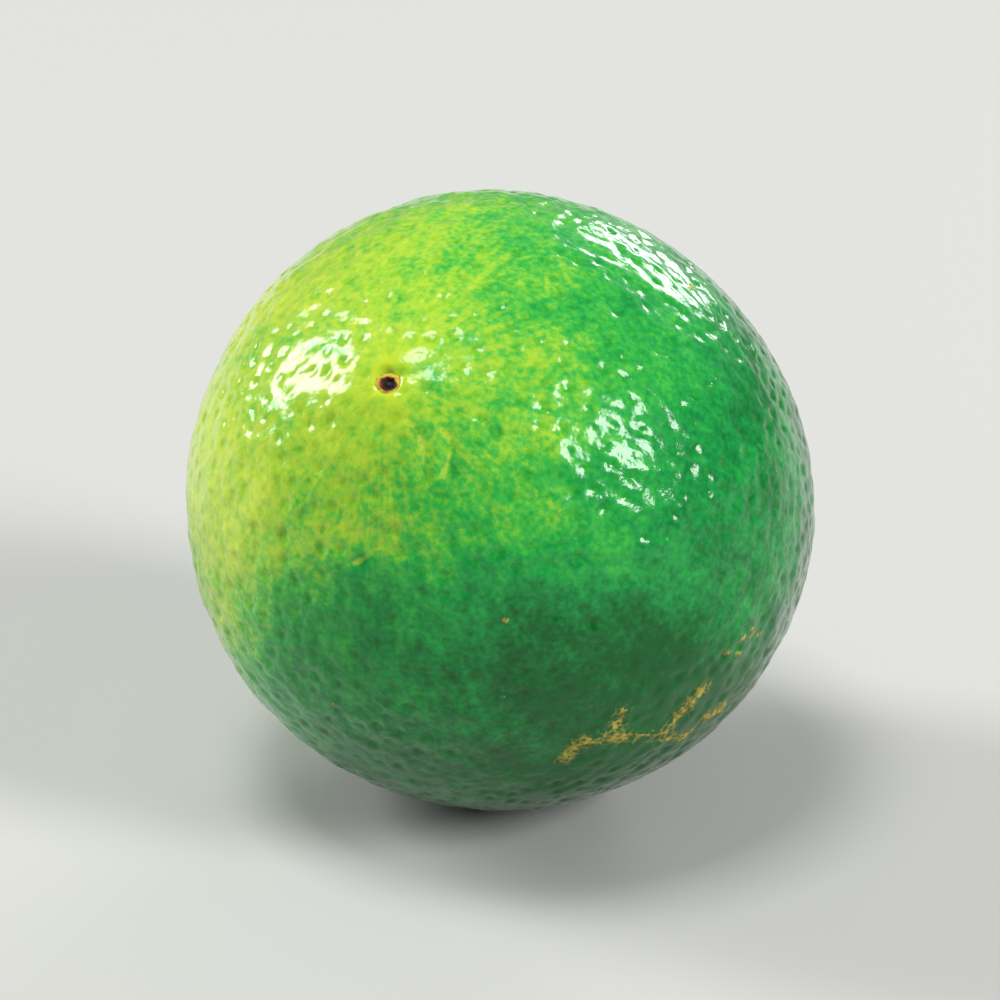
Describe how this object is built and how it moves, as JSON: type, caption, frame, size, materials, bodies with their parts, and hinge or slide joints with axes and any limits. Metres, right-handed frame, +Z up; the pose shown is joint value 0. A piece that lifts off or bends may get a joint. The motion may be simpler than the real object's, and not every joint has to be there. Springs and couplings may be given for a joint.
{
  "type": "lime",
  "caption": "Whole green lime with a dimpled peel, a low blossom-end nipple and its dry stem button, lying on a small flat spot.",
  "frame": {"origin": "on the surface the lime rests on, under the middle of its bounding box", "axes": "+Z up; the fruit's axis lies in the YZ plane, its blossom end towards -Y and 41 degrees above level, its stem end towards +Y and below level"},
  "size_m": [0.0534, 0.054, 0.053],
  "materials": {
    "peel": "waxy, dimpled with oil glands, semi-gloss",
    "dry_calyx": "dry, matt, corky"
  },
  "bodies": {
    "root": {"lime_fruit": "peel", "stem_button": "dry_calyx"}
  },
  "joints": []
}
